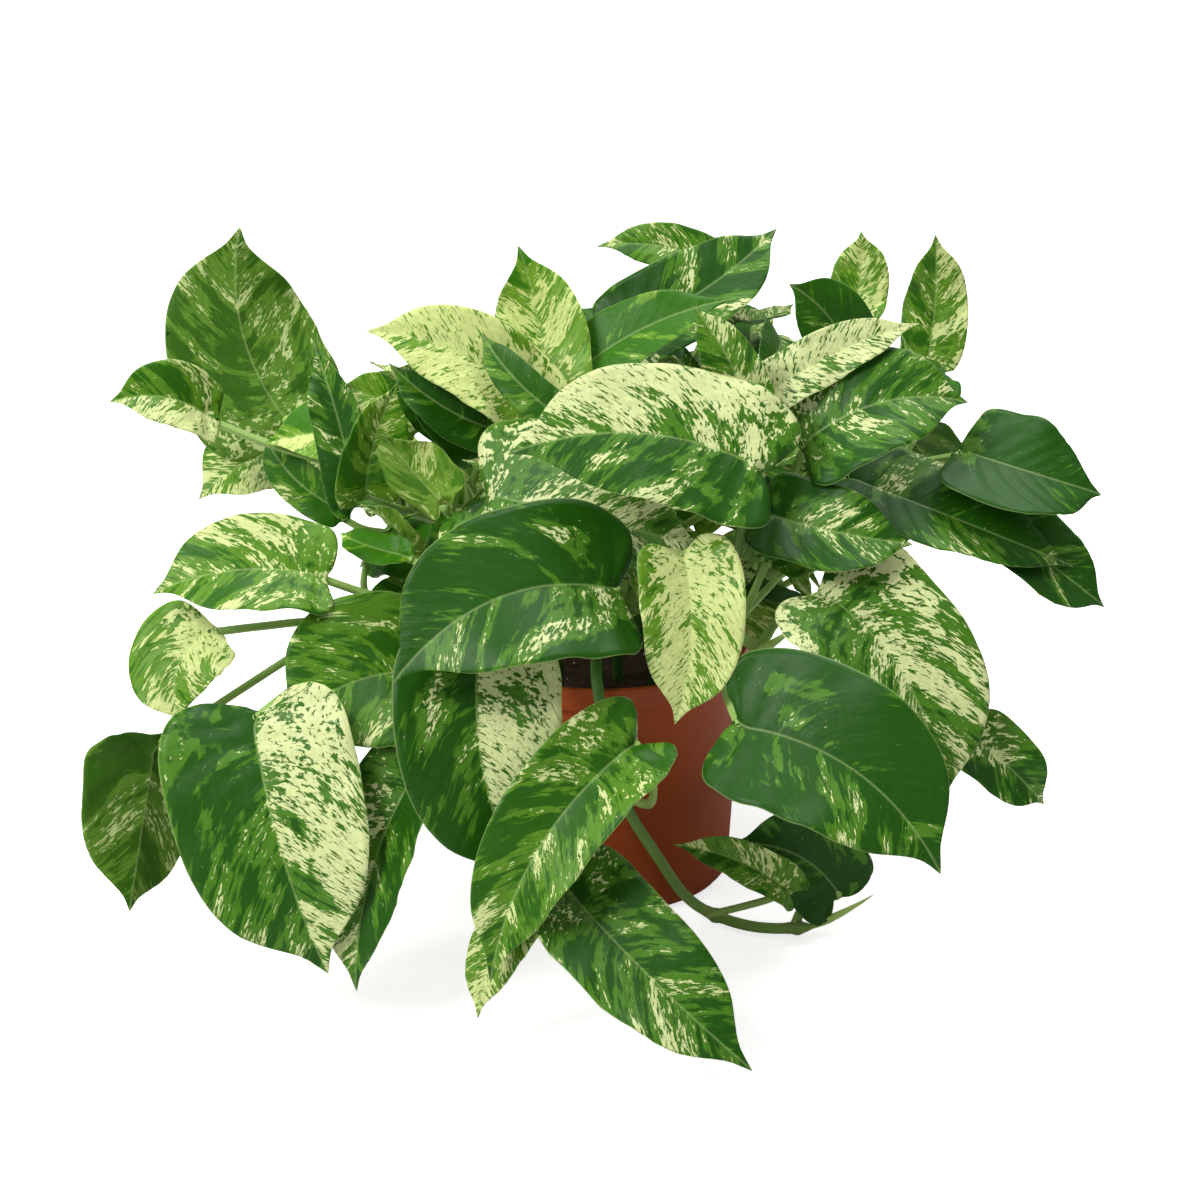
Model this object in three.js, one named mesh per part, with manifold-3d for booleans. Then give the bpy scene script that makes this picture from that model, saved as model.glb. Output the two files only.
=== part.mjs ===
// Potted pothos: a plastic grower pot, its soil, the rooted vines and their leaves.
// Millimetres, +Z up, +X to the right, -Y to the front. The origin is the centre of the pot's foot.
import * as THREE from 'three';
import { mergeVertices } from 'three/addons/utils/BufferGeometryUtils.js';
import Module from 'manifold-3d';

const wasm = await Module();
wasm.setup();

// ---------------------------------------------------------------- driving dimensions

const CLEARANCE = 0.3; // gap kept between pieces that touch on the real plant

const POT = {
  height: 129,
  rimRadius: 76,
  bandHeight: 13, // the thicker band under the lip
  bandStep: 2.4, // how far the band stands out from the wall
  footRadius: 66,
  cornerRadius: 6, // rounding between foot and wall
  wall: 1.4,
  floor: 2,
  segments: 56,
};

const DRAIN = { count: 8, width: 13, height: 7, depth: 12, firstAngle: 20 };

const SOIL = { headspace: 13, dish: 3 }; // top below the lip, and how far the middle lies lower

const VINE = { radius: 3.1, sides: 8, stepLength: 9, upright: 9 }; // upright: straight out of the soil

const LEAF = {
  scale: 1, // overall blade width
  petioleRadius: 1.9,
  thickness: 0.9, // of the blade
  ribHeight: 0.8, // how far the midrib stands out underneath
  ribHalfWidth: 1.1,
  ripple: 1.6, // waviness of the margin
};

// The places below are drawn on a pot of this rim radius and height, and follow the pot's own.
const DRAWN = { rimRadius: 76, height: 129 };

// How a leaf that would cross a piece already there is eased forwards or backwards, and how high its
// petiole then arches.
const EASE = { step: 4, tries: 20, direction: [0, -0.94, 0.34], arches: [0.5, 1.2, 0, -0.6], gap: 0.5 };

// ---------------------------------------------------------------- the plant, vine by vine
// Each vine's path runs from the soil to its tip. Each row under it is a leaf: the share of the path
// at which it grows (node), the place of its blade's base and tip, the way its upper side faces, its
// width, how far the midrib arches (bow), how steeply the halves fold up (fold, degrees) and how far
// the midrib bends to its right (sway).

const PLANT = [
  {
    name: 'centre',
    path: [[8, -20, 114], [8, -22, 140], [14, -34, 160], [20, -52, 178], [24, -74, 192]],
    leaves: [
      [0.98, [6, -136, 204], [-96, -178, 174], [-1, -8, 7], 84, 16, 8, 12],
      [0.84, [76, -112, 255], [-44, -128, 268], [0, -8, 7], 74, 6, 4, 12],
      [0.7, [-58, -62, 226], [47, -88, 208], [0, -7, 7], 86, 6, 8, 2],
      [0.42, [-34, -38, 262], [-115, -42, 303], [1, -8, 6], 48, 6, 12, 8],
      [0.34, [-48, -38, 250], [-104, -42, 287], [1, -8, 5], 30, 4, 16, -6],
      [0.26, [-29, -12, 256], [-42, 22, 329], [0, -9, 3], 50, -6, 12, 4],
      [0.91, [38, -122, 216], [34, -150, 142], [1, -9, 3], 52, 5, 16, -5],
    ],
  },
  {
    name: 'left',
    path: [[-30, -28, 114], [-34, -34, 138], [-56, -58, 150], [-86, -84, 152], [-112, -100, 148]],
    leaves: [
      [0.98, [-164, -150, 144], [-129, -190, 31], [-1, -10, 4], 94, 10, 8, 3],
      [0.86, [-88, -112, 153], [-150, -150, 142], [-1, -8, 6], 84, 8, 8, 4],
      [0.74, [-136, -98, 197], [-214, -112, 193], [-1, -6, 8], 58, 6, 12, 4],
      [0.92, [-190, -108, 172], [-200, -130, 134], [-3, -9, 4], 50, 4, 10, 8],
      [0.62, [-216, -118, 117], [-228, -146, 42], [-5, 8, 3], 68, 6, 10, 4],
    ],
  },
  {
    name: 'trailing',
    path: [[-2, -46, 114], [-2, -48, 130], [-3, -66, 140], [-2, -84, 132], [4, -86, 104], [12, -76, 67],
      [26, -74, 41], [45, -68, 10.5], [62, -76, 4.1], [82, -86, 3.9], [106, -86, 4.5]],
    leaves: [
      [0.46, [15, -172, 141], [-52, -214, 38], [-3, -9, 3], 56, 14, 22, 10],
      [0.97, [119, -80, 20], [66, -84, 50], [0, -8, 4], 48, 4, 10, 8],
      [0.8, [93, -96, 30], [35, -102, 58], [2, -8, 4], 24, 4, 24, 4],
    ],
  },
  {
    name: 'front',
    path: [[-22, -44, 114], [-22, -46, 132], [-26, -66, 146], [-30, -90, 146], [-30, -112, 126],
      [-26, -126, 98], [-20, -132, 74]],
    leaves: [
      [0.6, [-58, -150, 178], [-38, -184, 76], [1, -10, 4], 80, 8, 10, 8],
      [0.97, [-17, -200, 79], [69, -254, 12], [4, -8, 6], 62, 8, 12, 6],
      [0.88, [-26, -198, 74], [-58, -222, 22], [-4, -8, 4], 30, 4, 12, 6],
      [0.76, [-88, -180, 128], [-116, -208, 28], [-5, -8, 2], 52, 8, 22, 4],
    ],
  },
  {
    name: 'front_right',
    path: [[26, -40, 114], [28, -44, 138], [44, -66, 158], [62, -96, 168], [76, -118, 166]],
    leaves: [
      [0.86, [64, -168, 148], [156, -206, 90], [2, -8, 5], 82, 12, 12, -12],
      [0.98, [105, -130, 200], [160, -172, 106], [5, -8, 4], 84, 12, 12, -10],
    ],
  },
  {
    name: 'right',
    path: [[44, -10, 114], [50, -12, 140], [74, -20, 164], [102, -30, 182], [126, -42, 190]],
    leaves: [
      [0.74, [98, -72, 256], [176, -66, 274], [0, -7, 7], 62, 10, 10, -6],
      [0.84, [120, -54, 232], [230, -72, 192], [1, -5, 8], 54, 10, 12, 8],
      [0.91, [193, -90, 221], [246, -102, 182], [3, -6, 6], 46, 6, 12, 4],
      [0.66, [80, -92, 226], [148, -104, 215], [1, -7, 6], 46, 5, 10, 4],
      [0.95, [178, -118, 122], [214, -122, 88], [4, -8, 2], 36, 5, 14, 0],
      [0.5, [98, 56, 196], [140, 98, 116], [4, 8, 5], 76, 12, 10, 6],
      [0.62, [136, 44, 232], [196, 62, 166], [6, 5, 7], 70, 12, 10, -6],
    ],
  },
  {
    name: 'back',
    path: [[20, 28, 114], [20, 32, 142], [34, 42, 170], [56, 50, 196], [78, 50, 216]],
    leaves: [
      [0.7, [179, -42, 240], [243, -52, 222], [1, -6, 8], 60, 8, 10, 6],
      [0.98, [75, -58, 272], [153, -42, 306], [-1, -8, 5], 28, 3, 12, -4],
      [0.9, [124, 30, 272], [94, 26, 308], [1, -9, 3], 38, 3, 8, 4],
      [0.82, [133, 104, 272], [137, 118, 312], [0, -9, 3], 32, -3, 8, 2],
      [0.94, [171, 84, 252], [174, 96, 316], [1, -9, 3], 36, -4, 10, 3],
      [0.66, [72, -56, 262], [43, -50, 316], [-1, -9, 3], 28, 3, 12, 3],
      [0.58, [9, 60, 272], [91, 92, 320], [-2, -8, 6], 52, 5, 12, 8],
      [0.5, [-26, -14, 262], [66, 2, 308], [-2, -7, 7], 38, 6, 10, -6],
      [0.42, [66, 132, 286], [-3, 128, 301], [0, -7, 6], 28, 5, 10, 5],
      [0.34, [20, 104, 196], [14, 150, 112], [0, 9, 5], 78, 12, 10, 6],
      [0.46, [70, 100, 214], [104, 146, 140], [2, 9, 5], 80, 12, 10, -6],
      [0.54, [40, 112, 246], [-10, 150, 190], [-1, 8, 7], 74, 10, 10, 8],
      [0.26, [56, 96, 140], [74, 128, 52], [1, 10, 3], 66, 8, 10, 4],
    ],
  },
  {
    name: 'left_back',
    path: [[-36, 18, 114], [-40, 20, 138], [-64, 26, 158], [-94, 30, 176], [-116, 32, 190]],
    leaves: [
      [0.98, [-164, 44, 232], [-186, 72, 326], [-4, 9, 2], 84, 6, 8, 10],
      [0.9, [-198, 0, 246], [-243, -26, 262], [0, -8, 7], 40, 6, 16, 4],
      [0.94, [-150, 92, 204], [-212, 60, 182], [0, -6, 9], 58, 6, 8, 4],
      [0.8, [-123, -20, 208], [-144, 0, 286], [-3, -9, 2], 30, 4, 14, 4],
      [0.7, [-116, -48, 222], [-99, -50, 279], [4, -8, 2], 36, 4, 16, -5],
      [0.5, [-77, -90, 232], [-104, -92, 266], [-3, 5, 8], 40, 4, 10, 4],
      [0.44, [-62, 94, 186], [-84, 140, 98], [-2, 9, 5], 80, 12, 10, 6],
      [0.64, [-108, 84, 216], [-142, 126, 150], [-4, 8, 6], 72, 12, 10, -6],
      [0.3, [-24, 98, 138], [-34, 134, 48], [0, 10, 3], 70, 8, 10, 5],
    ],
  },
];

// The outline of a blade, from its base to its tip: how far along the midrib, the half width as a
// share of the greatest, and how far the margin is swept back, as a share of the length.
const OUTLINE = [
  [0.03, 0.5, 0.12],
  [0.09, 0.82, 0.15],
  [0.19, 0.98, 0.13],
  [0.33, 1, 0.09],
  [0.5, 0.97, 0.05],
  [0.67, 0.83, 0.03],
  [0.82, 0.54, 0.01],
  [0.93, 0.19, 0],
];

// How the margin's ripple runs on, in radians: from ring to ring, from side to side, leaf to leaf.
const RIPPLE = { perRing: 1.9, sideShift: 2.4, perNode: 40 };

const COLOURS = {
  pot: 0x9a4a33,
  soil: 0x3a281d,
  vine: 0x3d6b24,
  leaf: [0x2f6a24, 0x4f8a34, 0xc9d78e, 0x7fa654],
};

// ---------------------------------------------------------------- helpers

const UP = new THREE.Vector3(0, 0, 1);
const vector = (list) => new THREE.Vector3(...list);

function material(colour, roughness) {
  return new THREE.MeshStandardMaterial({ color: colour, roughness, metalness: 0 });
}

// A drawn place, moved with the pot: outwards with its rim, and up with its height.
function place([x, y, z]) {
  const radius = Math.hypot(x, y);
  const inside = radius < DRAWN.rimRadius;
  const outside = 1 + (POT.rimRadius - DRAWN.rimRadius) / radius;
  const stretch = inside ? POT.rimRadius / DRAWN.rimRadius : outside;
  const hanging = z < DRAWN.height;
  const height = hanging ? (z * POT.height) / DRAWN.height : z + POT.height - DRAWN.height;
  return new THREE.Vector3(x * stretch, y * stretch, height);
}

function solidOf(geometry) {
  const bare = new THREE.BufferGeometry();
  bare.setAttribute('position', geometry.getAttribute('position').clone());
  if (geometry.index) bare.setIndex(geometry.index.clone());
  const merged = mergeVertices(bare, 1e-4);
  return new wasm.Manifold(new wasm.Mesh({
    numProp: 3,
    vertProperties: new Float32Array(merged.getAttribute('position').array),
    triVerts: new Uint32Array(merged.index.array),
  }));
}

function geometryOf(solid) {
  const mesh = solid.getMesh();
  const geometry = new THREE.BufferGeometry();
  geometry.setAttribute('position', new THREE.BufferAttribute(mesh.vertProperties, 3));
  geometry.setIndex(new THREE.BufferAttribute(mesh.triVerts, 1));
  geometry.computeVertexNormals();
  return geometry;
}

// The part of a vector that is square to a direction, at unit length.
function squareTo(vec, direction) {
  return vec.clone().addScaledVector(direction, -vec.dot(direction)).normalize();
}

// ---------------------------------------------------------------- pot and soil

const shoulder = 2 * POT.cornerRadius; // above this height the wall inside is straight

function wallRadius(height) {
  const top = POT.rimRadius - POT.bandStep;
  return POT.footRadius + ((top - POT.footRadius) * height) / POT.height;
}

function potGeometry() {
  const bandBottom = POT.height - POT.bandHeight;
  const lip = POT.wall / 2;
  const outer = [[wallRadius(POT.cornerRadius), POT.cornerRadius]];
  for (let angle = 30; angle <= 90; angle += 30) {
    const turn = THREE.MathUtils.degToRad(angle);
    outer.unshift([
      wallRadius(POT.cornerRadius) - POT.cornerRadius * (1 - Math.cos(turn)),
      POT.cornerRadius * (1 - Math.sin(turn)),
    ]);
  }
  const profile = [
    [0, 0],
    ...outer,
    [wallRadius(bandBottom), bandBottom],
    [POT.rimRadius - 0.4, bandBottom + 1],
    [POT.rimRadius, POT.height - lip],
    [POT.rimRadius - lip, POT.height],
    [POT.rimRadius - POT.wall - lip, POT.height],
    [POT.rimRadius - POT.wall - POT.bandStep / 2, POT.height - lip],
    [wallRadius(bandBottom) - POT.wall, bandBottom],
    [wallRadius(shoulder) - POT.wall, shoulder],
    [wallRadius(POT.floor) - POT.wall - POT.cornerRadius / 2, POT.floor],
    [0, POT.floor],
  ];
  const points = profile.map(([radius, height]) => new THREE.Vector2(radius, height));
  const lathe = new THREE.LatheGeometry(points, POT.segments);
  lathe.rotateX(Math.PI / 2);
  let solid = solidOf(lathe);
  for (let i = 0; i < DRAIN.count; i += 1) {
    const slot = new THREE.BoxGeometry(DRAIN.depth, DRAIN.width, DRAIN.height);
    slot.translate(POT.footRadius, 0, 0);
    slot.rotateZ(THREE.MathUtils.degToRad(DRAIN.firstAngle + (i * 360) / DRAIN.count));
    solid = solid.subtract(solidOf(slot));
  }
  return geometryOf(solid);
}

const soilTop = POT.height - SOIL.headspace;

function soilGeometry() {
  const foot = POT.floor + CLEARANCE;
  const footRadius = wallRadius(foot) - POT.wall - POT.cornerRadius / 2 - CLEARANCE;
  const topRadius = wallRadius(soilTop) - POT.wall - 2 * CLEARANCE;
  const points = [
    new THREE.Vector2(0, foot),
    new THREE.Vector2(footRadius - 1, foot),
    new THREE.Vector2(wallRadius(shoulder) - POT.wall - 2 * CLEARANCE, shoulder),
    new THREE.Vector2(topRadius, soilTop - 1),
    new THREE.Vector2(topRadius - 4, soilTop),
    new THREE.Vector2(topRadius * 0.8, soilTop - SOIL.dish),
    new THREE.Vector2(0, soilTop - SOIL.dish),
  ];
  const lathe = new THREE.LatheGeometry(points, POT.segments);
  lathe.rotateX(Math.PI / 2);
  return lathe;
}

// ---------------------------------------------------------------- vines

function vineCurve(path) {
  const points = path.map(place);
  points[0].z = soilTop - SOIL.dish + CLEARANCE;
  points.splice(1, 0, points[0].clone().addScaledVector(UP, VINE.upright));
  return new THREE.CatmullRomCurve3(points);
}

function vineGeometry(curve) {
  const section = new THREE.Shape();
  for (let i = 0; i < VINE.sides; i += 1) {
    const angle = (i * 2 * Math.PI) / VINE.sides;
    const corner = [VINE.radius * Math.cos(angle), VINE.radius * Math.sin(angle)];
    if (i === 0) section.moveTo(...corner);
    else section.lineTo(...corner);
  }
  section.closePath();
  const steps = Math.round(curve.getLength() / VINE.stepLength);
  return new THREE.ExtrudeGeometry(section, { steps, bevelEnabled: false, extrudePath: curve });
}

// ---------------------------------------------------------------- leaves

// A ring of nine points, left margin first, over the upper side to the right margin and back
// underneath. Three of them lie on the upper side and four on the lower, two of those on the rib.
const RING_ANGLES = [180, 135, 90, 45, 0, -36, -72, -108, -144];

function petioleRing(centre, right, up) {
  return RING_ANGLES.map((degrees) => {
    const angle = THREE.MathUtils.degToRad(degrees);
    return centre.clone()
      .addScaledVector(right, LEAF.petioleRadius * Math.cos(angle))
      .addScaledVector(up, LEAF.petioleRadius * Math.sin(angle));
  });
}

function petioleRings(curve, endRight, endForward) {
  const rings = [];
  let forward = endForward.clone();
  let right = endRight.clone();
  for (const share of [0.94, 0.72, 0.48, 0.24, 0]) {
    const tangent = curve.getTangent(share);
    const turn = new THREE.Quaternion().setFromUnitVectors(forward, tangent);
    right.applyQuaternion(turn);
    forward = tangent;
    right = squareTo(right, forward);
    rings.unshift(petioleRing(curve.getPoint(share), right, right.clone().cross(forward)));
  }
  return rings;
}

function bladeRing(blade, [share, halfShare, sweep], index) {
  const centre = blade.midrib.getPoint(share);
  const forward = blade.midrib.getTangent(share);
  const up = squareTo(blade.face, forward);
  const right = forward.clone().cross(up);
  const half = halfShare * blade.halfWidth;
  const fold = THREE.MathUtils.degToRad(blade.fold);
  const across = (side, lift) => {
    const away = Math.abs(side);
    const turn = RIPPLE.perRing * index + RIPPLE.sideShift * Math.sign(side) + blade.phase;
    const wave = LEAF.ripple * halfShare * away * away * Math.sin(turn);
    return centre.clone()
      .addScaledVector(right, side * half * Math.cos(fold))
      .addScaledVector(up, away ** 1.3 * half * Math.sin(fold) + wave + lift)
      .addScaledVector(forward, -away * sweep * blade.length);
  };
  const top = blade.thickness / 2;
  const rib = Math.min(0.3, (LEAF.ribHalfWidth * (1 - 0.6 * share)) / half);
  const ribDepth = LEAF.ribHeight * (1 - share);
  return [
    across(-1, 0),
    across(-0.5, top),
    across(0, top),
    across(0.5, top),
    across(1, 0),
    across(0.55, -top),
    across(rib, -top - ribDepth),
    across(-rib, -top - ribDepth),
    across(-0.55, -top),
  ];
}

// Closes a run of rings into one body: a flat cap on the first, and a point after the last.
function loftedGeometry(rings, apex) {
  const size = RING_ANGLES.length;
  const upperSides = 4;
  const positions = [...rings.flat(), apex].flatMap((point) => point.toArray());
  const index = [];
  for (let i = 2; i < size; i += 1) index.push(0, i, i - 1);
  for (let row = 0; row + 1 < rings.length; row += 1) {
    for (let j = 0; j < size; j += 1) {
      const next = (j + 1) % size;
      const [a, b] = [row * size + j, row * size + next];
      const [c, d] = [b + size, a + size];
      if (j < upperSides) index.push(a, b, c, a, c, d);
      else index.push(a, b, d, b, c, d);
    }
  }
  const last = (rings.length - 1) * size;
  for (let j = 0; j < size; j += 1) index.push(last + j, last + ((j + 1) % size), rings.length * size);
  const geometry = new THREE.BufferGeometry();
  geometry.setAttribute('position', new THREE.Float32BufferAttribute(positions, 3));
  geometry.setIndex(index);
  geometry.computeVertexNormals();
  return geometry;
}

function leafGeometry(leaf, vine, { slide, arch }, extraThickness) {
  const shift = vector(EASE.direction).multiplyScalar(slide);
  const base = place(leaf.base).add(shift);
  const tip = place(leaf.tip).add(shift);
  const chord = tip.clone().sub(base);
  const ahead = chord.clone().normalize();
  const up = squareTo(vector(leaf.face), ahead);
  const right = ahead.clone().cross(up);
  const middle = base.clone().lerp(tip, 0.5);
  middle.addScaledVector(up, 2 * leaf.bow).addScaledVector(right, 2 * leaf.sway);
  const blade = {
    midrib: new THREE.QuadraticBezierCurve3(base, middle, tip),
    face: up,
    length: chord.length(),
    halfWidth: (LEAF.scale * leaf.width) / 2,
    fold: leaf.fold,
    thickness: LEAF.thickness + extraThickness,
    phase: leaf.node * RIPPLE.perNode,
  };

  const stem = vine.getPointAt(leaf.node);
  const along = vine.getTangentAt(leaf.node);
  const span = base.distanceTo(stem);
  const outward = base.clone().sub(stem).normalize().addScaledVector(UP, arch);
  const leaving = squareTo(outward, along);
  const root = stem.clone().addScaledVector(leaving, VINE.radius + CLEARANCE);
  const forward = blade.midrib.getTangent(0);
  const arriving = base.clone().sub(root).normalize();
  arriving.addScaledVector(forward, 0.35).addScaledVector(up, 0.2).normalize();
  const petiole = new THREE.CubicBezierCurve3(
    root,
    root.clone().addScaledVector(leaving, 0.35 * span),
    base.clone().addScaledVector(arriving, -0.3 * span),
    base,
  );
  const rightAtBase = forward.clone().cross(squareTo(up, forward));
  const rings = petioleRings(petiole, rightAtBase, forward);
  OUTLINE.forEach((station, index) => rings.push(bladeRing(blade, station, index)));
  return loftedGeometry(rings, tip);
}

// Tries the leaf where it is drawn, then eased forwards and backwards, until it is clear.
function clearLeaf(leaf, vine, solids) {
  let best = { overlap: Infinity };
  for (let i = 0; i < EASE.tries && best.overlap > 0; i += 1) {
    const slide = EASE.step * Math.ceil(i / 2) * (i % 2 ? 1 : -1);
    for (const arch of EASE.arches) {
      const seat = { slide, arch };
      const thick = solidOf(leafGeometry(leaf, vine, seat, EASE.gap));
      let overlap = 0;
      for (const other of solids) overlap += thick.intersect(other).volume();
      if (overlap < best.overlap) best = { seat, overlap };
      if (overlap === 0) break;
    }
  }
  return { geometry: leafGeometry(leaf, vine, best.seat, 0), ...best };
}

// ---------------------------------------------------------------- assembly

const plant = new THREE.Group();

function addMesh(name, geometry, meshMaterial) {
  const mesh = new THREE.Mesh(geometry, meshMaterial);
  mesh.name = name;
  plant.add(mesh);
}

const pot = potGeometry();
const soil = soilGeometry();
addMesh('pot', pot, material(COLOURS.pot, 0.6));
addMesh('soil', soil, material(COLOURS.soil, 1));

const solids = [solidOf(pot), solidOf(soil)];
const vines = PLANT.map(({ name, path }) => {
  const curve = vineCurve(path);
  const geometry = vineGeometry(curve);
  addMesh(`vine_${name}`, geometry, material(COLOURS.vine, 0.5));
  solids.push(solidOf(geometry));
  return curve;
});

PLANT.forEach(({ name, leaves }, vineIndex) => {
  leaves.forEach(([node, base, tip, face, width, bow, fold, sway], index) => {
    const leaf = { node, base, tip, face, width, bow, fold, sway };
    const { geometry } = clearLeaf(leaf, vines[vineIndex], solids);
    solids.push(solidOf(geometry));
    const colour = COLOURS.leaf[(index + vineIndex) % COLOURS.leaf.length];
    addMesh(`leaf_${name}_${index + 1}`, geometry, material(colour, 0.4));
  });
});

export default plant;
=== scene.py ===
# %% [markdown]
# # A potted pothos
# Golden pothos is a climbing houseplant with heart-shaped leaves. This one is a cream-and-green form.
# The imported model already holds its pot, soil, vines and leaves as plain closed solids at their real
# size. This lesson measures those solids and grows the fine surfaces on them: curved blades with
# sunken veins, grooved stalks, knotted vines, loose soil and a moulded pot.

# %% Load the frame
import functools
import math
import bpy
import numpy as np
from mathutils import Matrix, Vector, noise


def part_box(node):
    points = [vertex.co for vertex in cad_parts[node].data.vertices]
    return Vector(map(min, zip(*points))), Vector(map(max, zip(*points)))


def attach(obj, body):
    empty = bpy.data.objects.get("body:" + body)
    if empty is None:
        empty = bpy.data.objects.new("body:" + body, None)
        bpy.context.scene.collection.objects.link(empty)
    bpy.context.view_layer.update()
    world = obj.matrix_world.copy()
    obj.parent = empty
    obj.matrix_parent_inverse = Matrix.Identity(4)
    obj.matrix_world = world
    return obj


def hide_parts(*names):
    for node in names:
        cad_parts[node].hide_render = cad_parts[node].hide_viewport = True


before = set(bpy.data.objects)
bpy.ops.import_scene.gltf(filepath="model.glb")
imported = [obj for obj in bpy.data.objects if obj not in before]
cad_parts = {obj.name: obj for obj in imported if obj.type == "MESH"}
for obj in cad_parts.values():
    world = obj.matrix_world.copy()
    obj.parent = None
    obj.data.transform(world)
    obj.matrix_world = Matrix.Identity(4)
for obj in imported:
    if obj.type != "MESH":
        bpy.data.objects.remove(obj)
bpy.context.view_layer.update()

MM = 0.001
leaf_names = sorted(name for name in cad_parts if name.startswith("leaf_"))
vine_names = sorted(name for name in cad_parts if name.startswith("vine_"))

# %% [markdown]
# ## Helpers for every material
# Colours are written as sRGB hex, the way a paint chart gives them, and Blender's shaders work in
# linear light, so one function turns hex to linear. Another adds a node with its settings and links.
# Building trees by hand in the shader editor works too, but code can be read and repeated. A noise
# that is given no place runs over the piece's own box, so its scale is a number of patches along it.

# %% Colour and node helpers
def linear(hex_colour):
    channels = [int(hex_colour[i:i + 2], 16) / 255 for i in (1, 3, 5)]
    light = [c / 12.92 if c <= 0.04045 else ((c + 0.055) / 1.055) ** 2.4 for c in channels]
    return (*light, 1.0)


COLOUR_MIX = {"data_type": "RGBA", "output": 2}  # settings of a Mix node for two colours


def plug(tree, node, sockets):
    """Gives a node's sockets, by name or number, their values, or links other nodes' outputs to them."""
    for key, value in sockets.items():
        if isinstance(value, bpy.types.NodeSocket):
            tree.links.new(value, node.inputs[key])
        else:
            node.inputs[key].default_value = value


def add_node(tree, kind, *values, output=0, stops=(), **named):
    """Adds a shader node and returns one of its outputs. values go to its sockets in order. A named one
    is a socket if it starts with a capital, socket number 6 if it is _6, and otherwise a setting.
    stops are a colour ramp's (place, hex colour)."""
    node = tree.nodes.new("ShaderNode" + kind)
    sockets = dict(enumerate(values))
    for key, value in named.items():
        if key[0] == "_":
            sockets[int(key[1:])] = value
        elif key[0].isupper():
            sockets[key] = value
        else:
            setattr(node, key, value)
    plug(tree, node, sockets)
    for place, colour in stops[2:]:
        node.color_ramp.elements.new(place)
    for i, (place, colour) in enumerate(stops):
        node.color_ramp.elements[i].position = place
        node.color_ramp.elements[i].color = linear(colour)
    return node.outputs[output]


def new_material(name):
    """A material, its node tree, which is empty but for a Principled shader, and that shader."""
    material = bpy.data.materials.new(name)
    material.use_nodes = True
    return material, material.node_tree, material.node_tree.nodes["Principled BSDF"]


def mottled_material(name, mottle, stops, surface, bump=None):
    """A material whose shade, and bumps if it has any, of a strength and depth, follow one noise."""
    material, tree, shader = new_material(name)
    shade = add_node(tree, "TexNoise", **mottle)
    plug(tree, shader, {"Base Color": add_node(tree, "ValToRGB", shade, stops=stops), **surface})
    if bump:
        relief = add_node(tree, "Bump", Strength=bump[0], Distance=bump[1], Height=shade)
        plug(tree, shader, {"Normal": relief})
    return material


# %% [markdown]
# ## Camera, floor and light
# A product picture of a plant uses a long lens a little above the foliage and a white sweep. A large
# soft lamp at the front left gives the pot its bright left edge and the leaves a broad sheen, and a
# pale surrounding sky fills the shadows, as a studio tent does.

# %% Camera, floor and light
scene = bpy.context.scene
CAMERA = {"target": (-0.001, 0.0, 0.148), "distance": 1.7, "pitch": 20.5, "lens": 99.5}

pitch = math.radians(CAMERA["pitch"])
camera_data = bpy.data.cameras.new("camera")
camera_data.lens = CAMERA["lens"]
camera_data.sensor_width = 36
camera = bpy.data.objects.new("camera", camera_data)
toward = Vector((0, math.cos(pitch), -math.sin(pitch)))
camera.location = Vector(CAMERA["target"]) - CAMERA["distance"] * toward
camera.rotation_euler = (math.pi / 2 - pitch, 0, 0)
scene.collection.objects.link(camera)
scene.camera = camera

LAMPS = {
    "key_softbox": {"place": (-1.3, -1.2, 1.9), "size": (1.0, 1.0), "watts": 50},
    "top_softbox": {"place": (0.3, 0.4, 1.9), "size": (1.4, 1.0), "watts": 25},
}
LAMP_AIM = Vector((0, 0, 0.15))
for name, lamp_of in LAMPS.items():
    data = bpy.data.lights.new(name, "AREA")
    data.shape = "RECTANGLE"
    data.size, data.size_y = lamp_of["size"]
    data.energy = lamp_of["watts"]
    lamp = bpy.data.objects.new(name, data)
    lamp.location = lamp_of["place"]
    lamp.rotation_euler = (LAMP_AIM - lamp.location).to_track_quat("-Z", "Y").to_euler()
    scene.collection.objects.link(lamp)

# The sky lights the plant at this strength, and the camera sees it pure white.
SKY_LIGHT = 0.34
WHITE = (1, 1, 1, 1)
world = bpy.data.worlds.new("studio")
world.use_nodes = True
tree = world.node_tree
seen = add_node(tree, "LightPath", output="Is Camera Ray")
strength = add_node(tree, "Math", seen, 1 - SKY_LIGHT, SKY_LIGHT, operation="MULTIPLY_ADD")
plug(tree, tree.nodes["Background"], {"Color": WHITE, "Strength": strength})
scene.world = world
scene.view_settings.view_transform = "Standard"

FLOOR = {"half": 6.0, "colour": (0.8, 0.8, 0.8, 1), "glow": 0.74}
floor_mesh = bpy.data.meshes.new("floor")
corners = [(-1, -1), (1, -1), (1, 1), (-1, 1)]
floor_mesh.from_pydata([(x * FLOOR["half"], y * FLOOR["half"], 0) for x, y in corners], [], [(0, 1, 2, 3)])
floor = bpy.data.objects.new("floor", floor_mesh)
scene.collection.objects.link(floor)
floor_paper, tree, shader = new_material("floor_white_paper")
seen = add_node(tree, "LightPath", output="Is Camera Ray")
glow = add_node(tree, "Math", seen, FLOOR["glow"], operation="MULTIPLY")
plug(tree, shader, {
    "Base Color": FLOOR["colour"], "Roughness": 0.9, "Emission Color": WHITE, "Emission Strength": glow,
})
floor_mesh.materials.append(floor_paper)

# %% [markdown]
# ## Reading a leaf from the frame
# Each leaf solid was lofted through rings of nine points that close at one tip. Welding its mesh and
# stepping outwards from the tip, one edge at a time, gives those rings back: every step reaches the
# next ring. Three points of a ring lie between the margins above and four below, so the count tells
# the upper side from the lower, whichever way the leaf hangs.

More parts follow.
